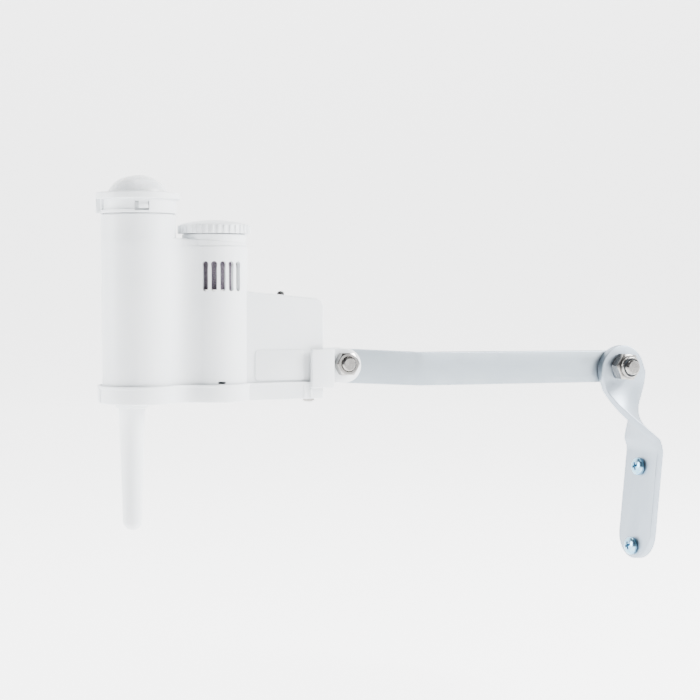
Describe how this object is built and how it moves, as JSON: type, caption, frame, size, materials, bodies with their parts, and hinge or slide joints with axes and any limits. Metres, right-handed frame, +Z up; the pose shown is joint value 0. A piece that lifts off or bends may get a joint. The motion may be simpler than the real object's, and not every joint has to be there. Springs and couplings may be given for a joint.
{
  "type": "wireless weather sensor",
  "caption": "Wireless rain, freeze and sunlight sensor in a white two-tube housing, held by a flat bent arm on a twisted wall bracket.",
  "frame": {"origin": "on the wall side of the bracket's lower plate, midway between its two screw holes", "axes": "+X from the sensor to the wall, +Z up along the upright sensor, +Y to the left of someone facing the wall"},
  "size_m": [0.2325, 0.0352, 0.1494],
  "materials": {
    "white_abs": "satin injection-moulded ABS, cool white",
    "frosted_lens": "translucent frosted plastic, faintly blue",
    "black_rubber": "matt black moulded rubber",
    "grey_rubber": "grey sealing rubber",
    "moisture_disc": "compressed fibre that swells when wet",
    "satin_aluminium": "satin, lightly anodised",
    "stainless_steel": "bright stainless steel",
    "zinc_plated_steel": "zinc plate with a blue passivate",
    "black_nylon": "black nylon",
    "green_board": "green solder mask on glass laminate",
    "black_plastic": "black moulded plastic",
    "battery_jacket": "plain blue cell jacket",
    "plated_contact": "plated spring brass"
  },
  "bodies": {
    "wall_mount": {"wall_bracket": "satin_aluminium", "pivot_bolt": "stainless_steel", "pivot_nut": "stainless_steel", "pivot_nut_insert": "black_nylon", "wall_screw_upper": "zinc_plated_steel", "wall_screw_lower": "zinc_plated_steel"},
    "arm": {"mounting_arm": "satin_aluminium"},
    "sensor_head": {"main_housing": "white_abs", "base_tray": "white_abs", "antenna_sleeve": "white_abs", "antenna_wire": "plated_contact", "lens_retainer": "white_abs", "dome_lens": "frosted_lens", "lens_gasket": "grey_rubber", "solar_board": "green_board", "photodiode": "black_plastic", "moisture_disc_1": "moisture_disc", "moisture_disc_2": "moisture_disc", "moisture_disc_3": "moisture_disc", "moisture_disc_4": "moisture_disc", "moisture_disc_5": "moisture_disc", "plunger_spring": "stainless_steel", "microswitch": "black_plastic", "transmitter_board": "green_board", "tactile_switch": "black_plastic", "freeze_thermistor": "black_plastic", "battery": "battery_jacket", "lower_contact": "plated_contact", "upper_contact": "plated_contact", "mounting_yoke": "white_abs", "clevis_bolt": "stainless_steel", "clevis_nut": "stainless_steel", "yoke_screw": "stainless_steel", "tray_screw_1": "stainless_steel", "tray_screw_2": "stainless_steel", "tray_screw_3": "stainless_steel"},
    "vent_cap": {"rain_cap": "white_abs", "vent_sleeve": "black_plastic"},
    "plunger": {"plunger": "white_abs"},
    "switch_lever": {"switch_lever": "stainless_steel"},
    "test_button": {"test_button": "black_rubber"}
  },
  "joints": [
    {"name": "arm_swing", "type": "hinge", "parent": "wall_mount", "child": "arm", "pos_m": [-0.01213, 0.0035, 0.05744], "axis": [0, 1, 0], "range_deg": [-70, 90]},
    {"name": "head_tilt", "type": "hinge", "parent": "arm", "child": "sensor_head", "pos_m": [-0.13466, 0.00549, 0.06132], "axis": [0.061, 0.9981, 0], "range_deg": [-80, 80]},
    {"name": "vent_cap_turn", "type": "hinge", "parent": "sensor_head", "child": "vent_cap", "pos_m": [-0.18262, 0.00842, 0.1], "axis": [0, 0, 1], "range_deg": [0, 90]},
    {"name": "plunger_slide", "type": "slide", "parent": "sensor_head", "child": "plunger", "axis": [0, 0, -1], "range_m": [0, 0.0015], "stiffness_N_per_m": 200, "deforming": ["plunger_spring"]},
    {"name": "lever_press", "type": "hinge", "parent": "sensor_head", "child": "switch_lever", "pos_m": [-0.18861, 0.00878, 0.07302], "axis": [0.061, 0.9981, 0], "range_deg": [0, 14.04]},
    {"name": "button_press", "type": "slide", "parent": "sensor_head", "child": "test_button", "axis": [0, 0, -1], "range_m": [0, 0.0007], "stiffness_N_per_m": 800}
  ],
  "couplings": [
    {"joint": "lever_press", "follows": "plunger_slide", "rad_per_m": 163.3}
  ]
}
